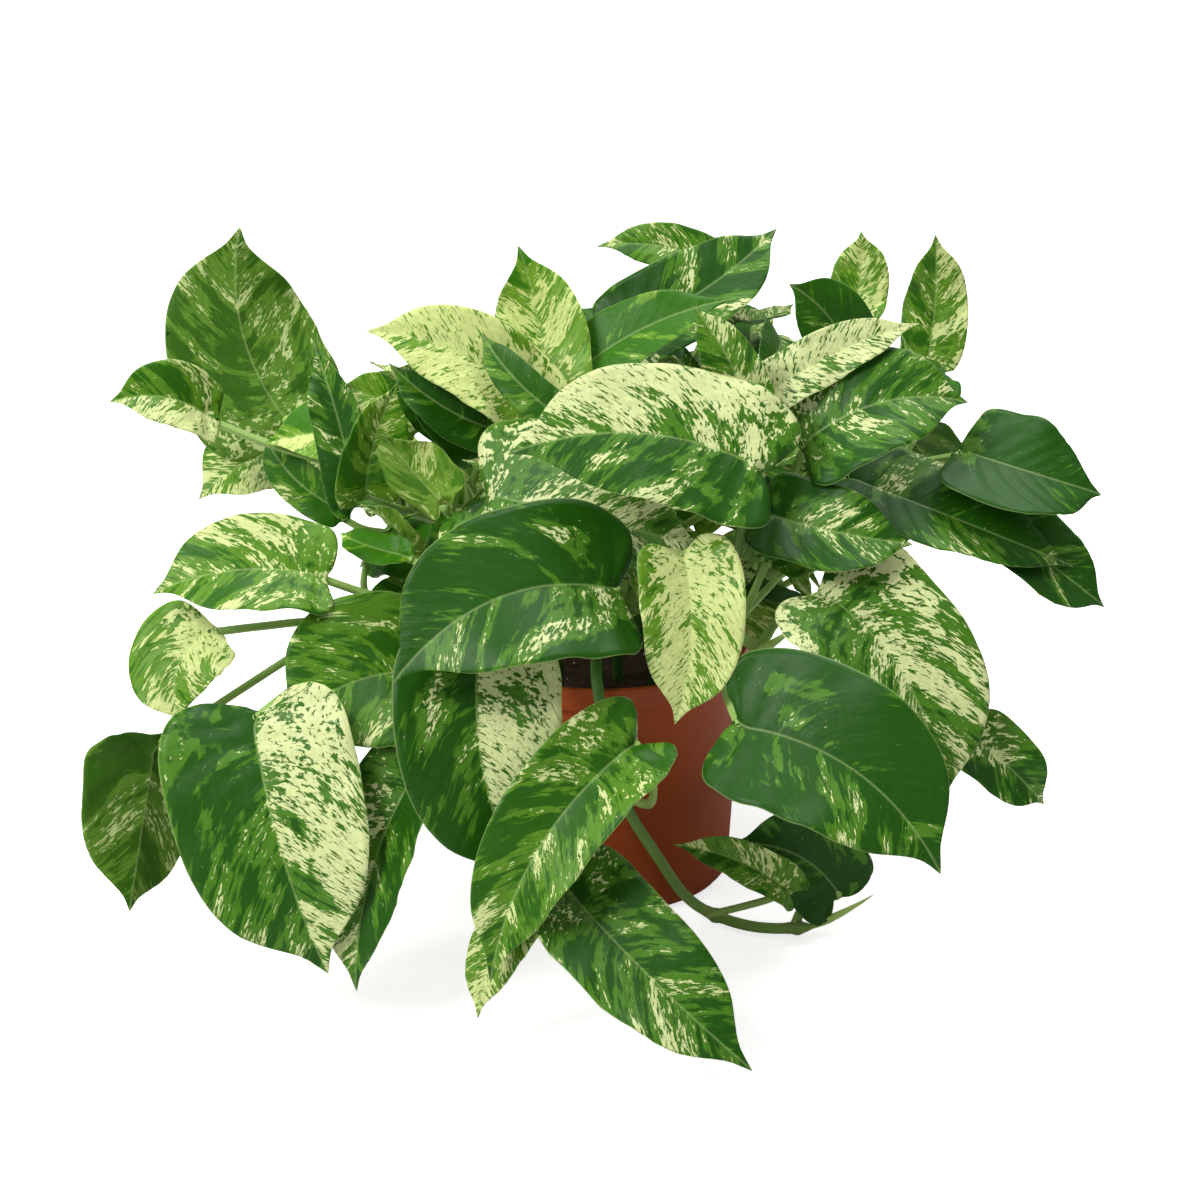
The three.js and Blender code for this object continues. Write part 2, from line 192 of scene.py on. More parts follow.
# %% Rings of a leaf
RING = 9
UPPER = (0, 1, 2, 3, 4)  # left margin to right margin, over the upper side
RIB = (6, 7)  # the two points on the underside's midrib


def welded(node):
    """The node's separate points, and for each the set of points it shares an edge with."""
    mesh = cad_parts[node].data
    index_of = {}
    index = [index_of.setdefault(tuple(round(c * 1e5) for c in v.co), len(index_of)) for v in mesh.vertices]
    points = np.zeros((len(index_of), 3))
    for vertex, i in zip(mesh.vertices, index):
        points[i] = vertex.co
    near = [set() for _ in points]
    for polygon in mesh.polygons:
        around = [index[i] for i in polygon.vertices]
        for a, b in zip(around, around[1:] + around[:1]):
            near[a].add(b)
            near[b].add(a)
    return points, near


def levels_from(start, near):
    """Sets of points one, two, three ... edges away from the starting set."""
    seen, level, levels = set(start), set(start), []
    while True:
        level = {j for i in level for j in near[i]} - seen
        if not level:
            return levels
        seen |= level
        levels.append(level)


def walk_round(level, near):
    """The points of one ring in order."""
    order = [min(level)]
    while len(order) < len(level):
        step = [j for j in near[order[-1]] & level if j not in order]
        if not step:
            return None
        order.append(step[0])
    return order


def sort_round(level, points):
    """The points of a flat, round ring in order, for the capped one, which has chords across it."""
    members = sorted(level)
    rays = points[members] - points[members].mean(0)
    x_axis = rays[0] / np.linalg.norm(rays[0])
    normal = np.cross(rays[0], rays[2])
    y_axis = np.cross(normal / np.linalg.norm(normal), x_axis)
    angles = np.arctan2(rays @ y_axis, rays @ x_axis)
    return [members[i] for i in np.argsort(angles)]


def turned(order):
    """Every start and direction of a closed ring."""
    for way in (order, order[::-1]):
        for start in range(len(way)):
            yield way[start:] + way[:start]


def leaf_rings(node):
    """Rings from the stalk's foot to the last before the tip, as an array (ring, 9, xyz), and the tip."""
    points, near = welded(node)
    apex = next(i for i, others in enumerate(near) if len(others) == RING)
    levels = levels_from({apex}, near)
    orders = [walk_round(level, near) for level in levels[:-1]]
    orders.append(sort_round(levels[-1], points))
    widest = max(range(len(orders)), key=lambda i: np.ptp(points[orders[i]], axis=0).sum())
    order, across = None, 0
    for way in turned(orders[widest]):
        span = np.linalg.norm(points[way[4]] - points[way[0]])
        if span > across + 1e-7:
            order, across = way, span
    loop = points[order]
    tipwards = points[apex] - loop.mean(0)
    up = loop[2] - loop[list(RIB)].mean(0)
    if np.dot(loop[4] - loop[0], np.cross(tipwards, up)) < 0:
        order = order[4::-1] + order[:4:-1]
    chosen = {widest: order}
    for i in [*range(widest + 1, len(orders)), *range(widest - 1, -1, -1)]:
        known = chosen[i - 1 if i > widest else i + 1]
        chosen[i] = next(o for o in turned(orders[i]) if all(b in near[a] for a, b in zip(known, o)))
    rings = np.array([points[chosen[i]] for i in range(len(orders) - 1, -1, -1)])
    return rings, points[apex]


leaf_shapes = {name: leaf_rings(name) for name in leaf_names}
STALK_RINGS = 5
print("rings per leaf:", {len(rings) for rings, _ in leaf_shapes.values()})

# %% [markdown]
# ## A smooth curve through measured points
# A Catmull-Rom spline passes through its points, so a fine blade keeps the solid's size and place.
# Subdivision would be the other way, but it shrinks the tip and rounds the heart's lobes away.

# %% Spline helper
def spline(knots, samples):
    """Catmull-Rom through knots (n, ...) at the given places, 0 to n - 1."""
    ends = np.concatenate([[2 * knots[0] - knots[1]], knots, [2 * knots[-1] - knots[-2]]])
    first = np.clip(np.floor(samples).astype(int), 0, len(knots) - 2)
    t = (samples - first).reshape(-1, *[1] * (knots.ndim - 1))
    a, b, c, d = (ends[first + k] for k in range(4))
    square, cube = 2 * a - 5 * b + 4 * c - d, 3 * b - a - 3 * c + d
    return 0.5 * (2 * b + (c - a) * t + square * t ** 2 + cube * t ** 3)


def unit(vectors):
    return vectors / np.maximum(np.linalg.norm(vectors, axis=-1, keepdims=True), 1e-9)


# %% [markdown]
# ## The blade
# A pothos blade is about half a millimetre thick, waxy, and quilted: the tissue between the side
# veins bulges up a little, the midrib is a pale channel above and a round ridge below, and the margin
# waves. The fine grid is spread through the measured rings, drawn in towards the midrib near the tip,
# which ends in a narrow drip point, pushed up and down by those shapes along its own normals, and
# closed round the margin. Each point also stores where it lies on the leaf, measured along the side
# veins, so that the markings can run with them.

# %% Blade mesh
BLADE = {
    "along": 60, "across": 28, "thickness": 0.55 * MM, "margin": 0.12 * MM,
    "channel": 0.4 * MM, "channel_half": 1.1 * MM, "rib": 0.9 * MM, "rib_half": 1.2 * MM,
    "quilt": 0.9 * MM, "vein_gap": 8.5 * MM, "wave": 1.1 * MM, "wave_length": 31 * MM,
    "drip_rings": 1.5, "drip": 0.42, "crowding": 1.25,
}


def smooth_step(t):
    t = np.clip(t, 0, 1)
    return t * t * (3 - 2 * t)


def blade_surface(rings, tip):
    """Fine points of the upper surface (along, across, xyz) and their cross shares, -1 to 1."""
    columns = np.concatenate([rings[STALK_RINGS - 1:, UPPER], np.repeat(tip[None, None], len(UPPER), 1)])
    last = len(columns) - 1
    # Rows crowd towards the lobes, and columns towards the midrib, where the blade bends most.
    places = np.linspace(0, 1, BLADE["along"] + 1)
    places = last * (0.35 * places + 0.65 * places ** BLADE["crowding"])
    rows = spline(columns, places)
    share = np.linspace(-1, 1, BLADE["across"] + 1)
    share = np.sign(share) * np.abs(share) ** BLADE["crowding"]
    surface = spline(rows.transpose(1, 0, 2), 2 * (share + 1)).transpose(1, 0, 2)
    narrow = 1 - BLADE["drip"] * smooth_step(1 - (last - 1 - places) / BLADE["drip_rings"])
    middle = surface[:, BLADE["across"] // 2, None]
    return middle + narrow[:, None, None] * (surface - middle), share


def grid_normals(surface):
    down = np.gradient(surface, axis=0)
    across = np.gradient(surface, axis=1)
    return unit(np.cross(across, down))


def leaf_plan(surface):
    """Where each point lies on the flattened leaf: distance along the midrib, and to its right."""
    middle = surface[:, surface.shape[1] // 2]
    steps = np.linalg.norm(np.diff(middle, axis=0), axis=1)
    travelled = np.concatenate([[0], np.cumsum(steps)])
    forward = unit(np.gradient(middle, axis=0))
    reach = surface - middle[:, None]
    ahead = np.einsum("ijk,ik->ij", reach, forward)
    side = np.linalg.norm(reach - ahead[..., None] * forward[:, None], axis=-1)
    return travelled[:, None] + ahead, side, travelled[-1]


def vein_plan(along, side, length):
    """Distance along the midrib at which the side vein through each point leaves it. The veins run
    forwards in the blade and backwards into its lobes."""
    backwards, forwards = -0.45, 1.05
    slope = backwards + (forwards - backwards) * smooth_step(along / length + 0.3)
    return along - slope * side


def blade_mesh(rings, tip, seed):
    """Points, faces, leaf places by point and a flag for each underside face of one closed blade."""
    surface, share = blade_surface(rings, tip)
    along, side, length = leaf_plan(surface)
    vein = vein_plan(along, side, length)
    normal = grid_normals(surface)
    phase = 7 * seed
    fade = np.clip(1 - along / length, 0, 1) ** 0.5 * np.clip(side / (6 * MM), 0, 1)
    quilt = BLADE["quilt"] * fade * np.abs(np.sin(np.pi * (vein / BLADE["vein_gap"] + phase)))
    wave = BLADE["wave"] * np.abs(share) ** 3 * fade * np.sin(
        2 * np.pi * along / BLADE["wave_length"] + phase + 2 * np.sign(share))
    edge = BLADE["margin"] + (BLADE["thickness"] - BLADE["margin"]) * (1 - np.abs(share) ** 8)
    taper = np.clip(1.15 - along / length, 0.1, 1)
    channel = BLADE["channel"] * taper * np.exp(-(side / BLADE["channel_half"]) ** 2)
    rib = BLADE["rib"] * taper * np.exp(-(side / BLADE["rib_half"]) ** 2)
    lift = (quilt + wave)[..., None] * normal
    upper = surface + lift + (edge / 2 - channel)[..., None] * normal
    lower = surface + lift - (edge / 2 + rib)[..., None] * normal
    rows, columns = surface.shape[:2]
    index = np.arange(rows * columns).reshape(rows, columns)
    under = index + rows * columns
    faces = []
    for i in range(rows - 1):
        for j in range(columns - 1):
            faces.append((index[i, j], index[i, j + 1], index[i + 1, j + 1], index[i + 1, j]))
            faces.append((under[i, j + 1], under[i, j], under[i + 1, j], under[i + 1, j + 1]))
        faces.append((under[i, 0], index[i, 0], index[i + 1, 0], under[i + 1, 0]))
        faces.append((index[i, -1], under[i, -1], under[i + 1, -1], index[i + 1, -1]))
    for j in range(columns - 1):
        faces.append((index[0, j + 1], index[0, j], under[0, j], under[0, j + 1]))
        faces.append((index[-1, j], index[-1, j + 1], under[-1, j + 1], under[-1, j]))
    points = np.concatenate([upper.reshape(-1, 3), lower.reshape(-1, 3)])
    plan = {"vein": vein, "side": side * np.sign(share), "edge": np.broadcast_to(np.abs(share), side.shape)}
    plan = {key: np.tile(value.reshape(-1), 2) for key, value in plan.items()}
    below = [face[0] >= rows * columns and face[2] >= rows * columns for face in faces]
    return points, faces, plan, below


# %% [markdown]
# ## The stalk
# The stalk, or petiole, is round underneath and grooved above, with a swollen joint where it meets
# the blade, and it clasps the vine with a flared sheath. A skin modifier could grow it, but a swept
# section keeps the groove on its upper side all the way.

# %% Stalk mesh
STALK = {
    "along": 36, "around": 14, "groove": 0.45, "groove_half": 0.5, "joint": 1.3, "joint_place": 0.93,
    "joint_length": 0.07, "sheath": 1.55, "sheath_length": 0.3, "sunk": 1.2 * MM, "closing": 0.985,
}


def tube_faces(rows, columns, first=0, inwards=False):
    """Faces between closed rings of points that are numbered from first, ring after ring."""
    faces = []
    for start in range(first, first + (rows - 1) * columns, columns):
        for j in range(columns):
            k = (j + 1) % columns
            a, b, c, d = start + j, start + columns + j, start + columns + k, start + k
            faces.append((a, d, c, b) if inwards else (a, b, c, d))
    return faces


def stalk_mesh(rings, blade_start):
    """Points, faces and leaf places by point of a closed stalk from its foot to the blade."""
    circles = rings[:STALK_RINGS]
    centres = np.concatenate([circles.mean(1), blade_start[None]])
    centres[0] -= unit(centres[1] - centres[0]) * STALK["sunk"]
    ups = unit(circles[:, 2] - circles.mean(1))
    ups = np.concatenate([ups, ups[-1:]])
    radius = np.linalg.norm(circles[1, 2] - circles[1].mean(0))
    places = np.linspace(0, len(centres) - 1, STALK["along"] + 1)
    path = spline(centres, places)
    up = spline(ups, places)
    forward = unit(np.gradient(path, axis=0))
    up = unit(up - np.einsum("ij,ij->i", up, forward)[:, None] * forward)
    right = np.cross(forward, up)
    share = places / places[-1]
    joint = 1 + (STALK["joint"] - 1) * np.exp(-((share - STALK["joint_place"]) / STALK["joint_length"]) ** 2)
    sheath = 1 + (STALK["sheath"] - 1) * np.clip(1 - share / STALK["sheath_length"], 0, 1) ** 0.7
    closing = np.where(share > STALK["closing"], 0.75, 1.0)
    angle = np.linspace(0, 2 * np.pi, STALK["around"], endpoint=False)
    groove = 1 - STALK["groove"] * np.exp(-((angle - np.pi / 2) / STALK["groove_half"]) ** 2)
    size = radius * (joint * closing)[:, None] * groove[None]
    wide = sheath[:, None] * np.cos(angle)[None] * size
    high = np.sin(angle)[None] * size
    points = path[:, None] + wide[..., None] * right[:, None] + high[..., None] * up[:, None]
    rows, columns = points.shape[:2]
    faces = tube_faces(rows, columns)
    faces += [tuple(range(columns)), tuple(reversed(range((rows - 1) * columns, rows * columns)))]
    plan = {
        "vein": np.repeat(share, columns), "side": np.tile(np.cos(angle), rows),
        "edge": np.tile(np.clip(np.sin(angle), 0, 1), rows),
    }
    return points.reshape(-1, 3), faces, plan


# %% [markdown]
# ## Leaf colour
# The cream form is a chimera: its layers of tissue are each green or colourless, in sectors that run
# out along the side veins. Where both layers are green a sector is dark, where one is, it is a greyed
# mid green, and where neither is, it is cream, and every sector is flecked with its neighbours'
# colours. So a broad pattern along the veins sets how likely cream and mid green are, and fine
# flecks, drawn out the same way, decide place by place. Young leaves are yellower and brighter.

# %% Leaf materials
SECTOR = (13 * MM, 75 * MM)  # sizes across and along the side veins
PATCH = (30 * MM, 18 * MM)
BLOTCH = (2.6 * MM, 9 * MM)
FLECK = (1.3 * MM, 3.3 * MM)
UPPER_SKIN = {
    "roughness": 0.42, "specular": 0.25, "dark": ("#1d4f02", "#3f7f08"), "mid": ("#4d7f1c", "#7fab2c"),
    "cream": ("#d4dd9c", "#d0de80"),
}
LOWER_SKIN = {
    "roughness": 0.6, "specular": 0.2, "dark": ("#34600c", "#528618"), "mid": ("#5e8828", "#80a636"),
    "cream": ("#bccb86", "#c4d276"),
}


def leaf_material(name, skin):
    """skin gives the gloss, and each tint on an old leaf and on a young one."""
    material, tree, shader = new_material(name)
    node = functools.partial(add_node, tree)
    places = ("vein", "side", "edge", "pale", "young", "seed")
    vein, side, edge, pale, young, seed = (
        node("Attribute", output="Fac", attribute_name=key) for key in places)

    def pattern(size, shift, detail, distortion):
        """Noise drawn out along the side veins, with spots of the given size."""
        offset = node("Math", seed, 37, shift, operation="MULTIPLY_ADD")
        across = node("Math", vein, 1 / size[0], offset, operation="MULTIPLY_ADD")
        out = node("Math", side, 1 / size[1], operation="MULTIPLY")
        spot = node("CombineXYZ", across, out, offset)
        return node("TexNoise", Vector=spot, Scale=1, Detail=detail, Roughness=0.6, Distortion=distortion)

    sector = pattern(SECTOR, shift=0, detail=2, distortion=0.5)
    patch = pattern(PATCH, shift=5, detail=2, distortion=0.3)
    blotch = pattern(BLOTCH, shift=11, detail=3, distortion=0.8)
    fleck = pattern(FLECK, shift=23, detail=3, distortion=0.6)

    # How colourless this place tends to be: 0 is all green, 1 is all cream.
    patchy = node("Math", patch, 0.8, -0.635, operation="MULTIPLY_ADD")
    broad = node("Math", sector, 0.9, patchy, operation="MULTIPLY_ADD")
    level = node("Math", pale, 0.62, broad, operation="MULTIPLY_ADD")

    def spots(noise_value, threshold, sharpness):
        """1 where the noise is over a threshold, 0 where it is under."""
        over = node("Math", noise_value, threshold, operation="SUBTRACT")
        return node("Math", over, sharpness, 0.5, operation="MULTIPLY_ADD", use_clamp=True)

    # The more colourless the place, the more spots there are, and the fainter the mid green ones.
    smoothly = {"interpolation_type": "SMOOTHSTEP"}
    mid_limit = node("MapRange", level, 0.26, 0.52, 0.72, 0.37, **smoothly)
    cream_limit = node("MapRange", level, 0.34, 0.72, 0.74, 0.41, **smoothly)
    mid_strength = node("MapRange", level, 0.42, 0.68, 0.9, 0.35, **smoothly)
    mid_share = node("Math", spots(blotch, mid_limit, sharpness=8), mid_strength, operation="MULTIPLY")
    cream_share = node("Math", spots(fleck, cream_limit, sharpness=22), 0.95, operation="MULTIPLY")
    dark, mid, cream = (
        node("Mix", young, _6=linear(skin[tint][0]), _7=linear(skin[tint][1]), **COLOUR_MIX)
        for tint in ("dark", "mid", "cream"))
    colour = node("Mix", mid_share, _6=dark, _7=mid, **COLOUR_MIX)
    colour = node("Mix", cream_share, _6=colour, _7=cream, **COLOUR_MIX)

    # Paler lines down the midrib and round the margin, and a mottled shade.
    off_rib = node("Math", side, operation="ABSOLUTE")
    rib = node("Math", off_rib, -0.3 / (0.9 * MM), 0.3, operation="MULTIPLY_ADD", use_clamp=True)
    rim = node("Math", edge, 20, -19.6, operation="MULTIPLY_ADD", use_clamp=True)
    lines = node("Math", rib, rim, operation="MAXIMUM")
    cloud = node("TexNoise", Scale=38, Detail=3)
    shade = node("Math", cloud, 0.5, 0.72, operation="MULTIPLY_ADD")
    colour = node("Mix", lines, _6=colour, _7=linear("#b4cc80"), **COLOUR_MIX)
    colour = node("VectorMath", colour, Scale=shade, operation="SCALE")

    # Relief: the side veins, finer ones between them, the blotches and a grain.
    gap = BLADE["vein_gap"]
    drift = node("Math", patch, 9, operation="MULTIPLY")
    main_turn = node("Math", vein, 2 * math.pi / gap, drift, operation="MULTIPLY_ADD")
    fine_turn = node("Math", vein, 6 * math.pi / gap, drift, operation="MULTIPLY_ADD")
    main_veins = node("Math", main_turn, operation="SINE")
    fine_veins = node("Math", fine_turn, operation="SINE")
    grain = node("TexNoise", Scale=900, Detail=3, Roughness=0.6)
    relief = 0.0
    for part, weight in ((main_veins, 0.5), (fine_veins, 0.12), (grain, 0.35), (blotch, 0.5)):
        relief = node("Math", part, weight, relief, operation="MULTIPLY_ADD")
    sheen = node("Math", grain, 0.16, skin["roughness"] - 0.08, operation="MULTIPLY_ADD")
    plug(tree, shader, {
        "Base Color": colour, "Roughness": sheen, "IOR": 1.45, "Specular IOR Level": skin["specular"],
        "Subsurface Weight": 0.06, "Subsurface Radius": (0.6, 1.0, 0.2), "Subsurface Scale": 1.5 * MM,
        "Normal": node("Bump", Strength=0.4, Distance=0.25 * MM, Height=relief),
    })
    return material


# The upper skin is waxed, which gives broad soft highlights. The underside is duller and paler.
upper_skin = leaf_material("leaf_waxy_upper_skin", UPPER_SKIN)
lower_skin = leaf_material("leaf_matte_underside", LOWER_SKIN)

# A stalk's skin is smooth and moist, so a soft bright line runs along it.
stalk_skin = mottled_material(
    "stalk_smooth_green_skin", {"Scale": 260, "Detail": 3},
    [(0.3, "#6c9840"), (0.55, "#9abc62"), (0.8, "#c2d88c")], {"Roughness": 0.42, "IOR": 1.45},
    bump=(0.3, 0.2 * MM))

# %% [markdown]
# ## How cream each leaf is
# On the real plant no two leaves match: some are green with a few flecks, some cream with green
# streaks, and some are split down the midrib. Each leaf gets the colourless share of its left and
# right half, looking down on its upper side with the tip away, and how young it is. Leaves that
# aren't listed take theirs from a fixed draw.

# %% Markings by leaf
MARKINGS = {
    "centre_1": (0.28, 0.1, 0), "centre_2": (0.42, 0.7, 0), "centre_3": (0.62, 0.52, 0),
    "centre_4": (0.7, 0.8, 0.6), "centre_5": (0.3, 0.24, 0), "centre_6": (0.55, 0.5, 0.8),
    "centre_7": (0.68, 0.72, 0.5), "left_1": (0.68, 0.3, 0), "left_2": (0.35, 0.3, 0.2),
    "left_3": (0.42, 0.5, 0.3), "left_4": (0.6, 0.6, 0.5), "left_5": (0.3, 0.35, 0),
    "trailing_1": (0.42, 0.3, 0.2), "trailing_2": (0.15, 0.15, 0), "trailing_3": (0.3, 0.6, 0.3),
    "front_1": (0.6, 0.08, 0), "front_2": (0.3, 0.36, 0), "front_3": (0.6, 0.6, 0.4),
    "front_4": (0.2, 0.45, 0), "front_right_1": (0.12, 0.26, 0), "front_right_2": (0.52, 0.45, 0),
    "right_1": (0.4, 0.36, 0), "right_2": (0.22, 0.26, 0), "right_3": (0.08, 0.1, 0),
    "right_4": (0.25, 0.3, 0), "right_5": (0.52, 0.5, 0), "back_1": (0.1, 0.12, 0),
    "back_2": (0.85, 0.72, 0), "back_3": (0.12, 0.15, 0.2), "back_4": (0.45, 0.5, 0.6),
    "back_5": (0.4, 0.6, 0.4), "back_6": (0.4, 0.6, 0.2), "back_7": (0.3, 0.32, 0),
    "back_8": (0.15, 0.2, 0.5), "back_9": (0.4, 0.4, 0.2), "left_back_1": (0.42, 0.38, 0),
    "left_back_2": (0.8, 0.5, 0.3), "left_back_3": (0.6, 0.5, 0.4), "left_back_4": (0.35, 0.3, 0),
    "left_back_5": (0.3, 0.35, 0.6), "left_back_6": (0.45, 0.4, 0.6),
}


def build_mesh(name, points, faces, materials, indices=None, plan=None):
    """indices are the faces' material numbers, and plan is the points' stored values."""
    mesh = bpy.data.meshes.new(name)
    mesh.from_pydata(points.tolist(), [], [tuple(int(i) for i in face) for face in faces])
    for material in materials:
        mesh.materials.append(material)
    if indices is not None:
        mesh.polygons.foreach_set("material_index", np.array(indices, dtype=np.int32))
    for key, values in (plan or {}).items():
        stored = mesh.attributes.new(key, "FLOAT", "POINT")
        stored.data.foreach_set("value", np.array(values, dtype=np.float32))
    mesh.shade_smooth()
    mesh.update()
    piece = bpy.data.objects.new(name, mesh)
    scene.collection.objects.link(piece)
    return piece


def grow_leaf(name, rings, tip, seed, marking):
    left, right, young = marking
    blade_points, blade_faces, blade_plan, below = blade_mesh(rings, tip, seed)
    # The stalk runs on to the midrib, three rows into the blade.
    blade_start = blade_points[3 * (BLADE["across"] + 1) + BLADE["across"] // 2]
    stalk_points, stalk_faces, stalk_plan = stalk_mesh(rings, blade_start)
    offset = len(blade_points)
    points = np.concatenate([blade_points, stalk_points])
    faces = blade_faces + [tuple(i + offset for i in face) for face in stalk_faces]
    plan = {key: np.concatenate([blade_plan[key], stalk_plan[key]]) for key in blade_plan}
    blend = np.clip(0.5 + plan["side"] / (1.5 * MM), 0, 1)
    plan["pale"] = left * (1 - blend) + right * blend
    plan["young"] = np.full(len(points), young)
    plan["seed"] = np.full(len(points), seed)
    skins = [int(flag) for flag in below] + [2] * len(stalk_faces)
    return build_mesh(name, points, faces, [upper_skin, lower_skin, stalk_skin], skins, plan)


UNLISTED = {"mean": 0.35, "spread": 0.18, "range": (0.05, 0.85)}
draw = np.random.default_rng(11)
for name in leaf_names:
    seed = draw.random()
    drawn = np.clip(draw.normal(UNLISTED["mean"], UNLISTED["spread"], 3), *UNLISTED["range"])
    marking = MARKINGS.get(name.removeprefix("leaf_"), drawn)
    rings, tip = leaf_shapes[name]
    leaf = grow_leaf(name.replace("leaf", "pothos_leaf", 1), rings, tip, seed, marking)
    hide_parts(name)
    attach(leaf, "root")
print("leaves grown:", len(leaf_names))

# %% [markdown]
# ## Vines
# A vine is a round green stem with a knot, or node, wherever a leaf grows from it, and the pale scar
# of an old sheath below each node. The stem is swept along the measured tube's rings, and swells
# where the stalks' feet come nearest to it.

# %% Vine meshes
VINE = {
    "around": 20, "step": 1.5 * MM, "slim": 0.9, "swelling": 0.4, "swell_half": 2.5 * MM, "scar": 0.12,
    "scar_half": 0.7 * MM, "scar_below": 5 * MM, "rooted": 2 * MM, "end": (0.95, 0.85, 0.65, 0.35),
}
FOOT_BELOW_SOIL_TOP = 2.7 * MM  # a vine's foot stands in the dish of the soil
soil_low, soil_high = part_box("soil")


def tube_centres(node):
    """Centre-line and radius of a tube mesh, whose foot's corners lie flat just above the soil's dish."""
    points, near = welded(node)
    inside = np.hypot(points[:, 0], points[:, 1]) < soil_high.x
    flat = np.abs(points[:, 2] - (soil_high.z - FOOT_BELOW_SOIL_TOP)) < 0.05 * MM
    foot = set(np.flatnonzero(inside & flat))
    levels = [foot] + levels_from(foot, near)
    centres = np.array([points[list(level)].mean(0) for level in levels if len(level) == len(foot)])
    radius = np.linalg.norm(points[list(foot)] - centres[0], axis=1).mean()
    return centres, radius


stalk_feet = np.array([rings[0].mean(0) for rings, _ in leaf_shapes.values()])

# A vine's green bark is streaked, and its highlight is broken by fine ridges.
vine_skin, tree, shader = new_material("vine_green_bark")
streak = add_node(tree, "TexNoise", Scale=180, Detail=4, Roughness=0.65)
scar = add_node(tree, "Attribute", output="Fac", attribute_name="scar")
young = add_node(tree, "Attribute", output="Fac", attribute_name="young")
green = add_node(tree, "ValToRGB", streak, stops=[(0.3, "#2c5a1c"), (0.55, "#4a7a2a"), (0.75, "#86a852")])
fresh = add_node(tree, "Math", young, 0.8, operation="MULTIPLY")
green = add_node(tree, "Mix", fresh, _6=green, _7=linear("#94b85c"), **COLOUR_MIX)
plug(tree, shader, {
    "Base Color": add_node(tree, "Mix", scar, _6=green, _7=linear("#8f9a5a"), **COLOUR_MIX),
    "Roughness": 0.48, "IOR": 1.45,
    "Normal": add_node(tree, "Bump", Strength=0.5, Distance=0.3 * MM, Height=streak),
})


def sweep(path, radii, around):
    """Points and faces of a round tube along a path, closed at both ends, without twist."""
    forward = unit(np.gradient(path, axis=0))
    side = unit(np.cross(forward[0], (0.3, 0.9, 0.2)))
    rows = []
    angle = np.linspace(0, 2 * np.pi, around, endpoint=False)
    for point, ahead, radius in zip(path, forward, radii):
        side = unit(side - np.dot(side, ahead) * ahead)
        other = np.cross(ahead, side)
        rows.append(point + radius * (np.cos(angle)[:, None] * side + np.sin(angle)[:, None] * other))
    points = np.array(rows)
    count = len(path) * around
    faces = tube_faces(len(path), around, inwards=True)
    faces += [tuple(reversed(range(around))), tuple(range(count - around, count))]
    return points.reshape(-1, 3), faces


vine_paths = {}
for name in vine_names:
    centres, radius = tube_centres(name)
    lengths = np.linalg.norm(np.diff(centres, axis=0), axis=1)
    count = int(lengths.sum() / VINE["step"])
    path = spline(centres, np.linspace(0, len(centres) - 1, count))
    path[0, 2] -= VINE["rooted"]
    vine_paths[name] = path, radius
    gaps = np.linalg.norm(stalk_feet[:, None] - path[None], axis=-1)
    nodes = [int(np.argmin(row)) for row in gaps if row.min() < 2.2 * radius]
    place = np.arange(count) * VINE["step"]
    swell = sum((np.exp(-((place - place[n]) / VINE["swell_half"]) ** 2) for n in nodes), np.zeros(count))
    below = place + VINE["scar_below"]
    ring = sum((np.exp(-((below - place[n]) / VINE["scar_half"]) ** 2) for n in nodes), np.zeros(count))
    radii = radius * (VINE["slim"] + VINE["swelling"] * np.clip(swell, 0, 1) + VINE["scar"] * ring)
    radii[-len(VINE["end"]):] *= np.array(VINE["end"])
    points, faces = sweep(path, radii, VINE["around"])
    plan = {"scar": np.clip(ring + 0.4 * swell, 0, 1), "young": np.clip(1.5 * place / place[-1] - 0.4, 0, 1)}
    plan = {key: np.repeat(values, VINE["around"]) for key, values in plan.items()}
    vine = build_mesh(name.replace("vine", "pothos_vine", 1), points, faces, [vine_skin], plan=plan)
    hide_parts(name)
    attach(vine, "root")
    print(name, "radius", round(radius * 1000, 2), "mm,", len(nodes), "nodes")

# %% [markdown]
# ## Rolled new leaves
# A new leaf comes out of the vine's tip as a tight pale roll, thickest near its foot and drawn out to
# a point. It is a swept tube too, with a spiral fold line raised on it.

# %% Rolled new leaves
SPEAR = {
    "length": 34 * MM, "steps": 26, "around": 16, "radius": 2.3 * MM, "point": 0.12 * MM, "fold": 0.16,
    "fold_turn": 0.3, "rise": 0.7, "trailing_rise": 0.35, "bend": 0.15,
}
# An unopened blade hasn't greened yet, so the roll is pale, with a satin skin.
spear_skin = mottled_material(
    "new_leaf_pale_roll", {"Scale": 140, "Detail": 3},
    [(0.35, "#7fae3c"), (0.55, "#b3d06a"), (0.7, "#dbe8a0")], {"Roughness": 0.4, "IOR": 1.45})
for name in vine_names:
    path, radius = vine_paths[name]
    rise = SPEAR["trailing_rise"] if name == "vine_trailing" else SPEAR["rise"]
    heading = unit(unit(path[-1] - path[-4]) + np.array([0, 0, rise]))
    t = np.linspace(0, 1, SPEAR["steps"])
    lean = np.outer(t ** 2, (0, 0, SPEAR["bend"] * SPEAR["length"]))
    line = path[-2] + np.outer(t * SPEAR["length"], heading) + lean
    radii = SPEAR["radius"] * np.clip(0.55 + 1.6 * t, 0, 1) * (1 - t ** 1.6) + SPEAR["point"]
    points, faces = sweep(line, radii, SPEAR["around"])
    grid = points.reshape(SPEAR["steps"], SPEAR["around"], 3)
    for i in range(SPEAR["steps"]):
        ridge = int(i * SPEAR["fold_turn"]) % SPEAR["around"]
        grid[i, ridge] += SPEAR["fold"] * (grid[i, ridge] - line[i])
    spear = build_mesh(name.replace("vine", "pothos_new_leaf"), grid.reshape(-1, 3), faces, [spear_skin])
    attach(spear, "root")

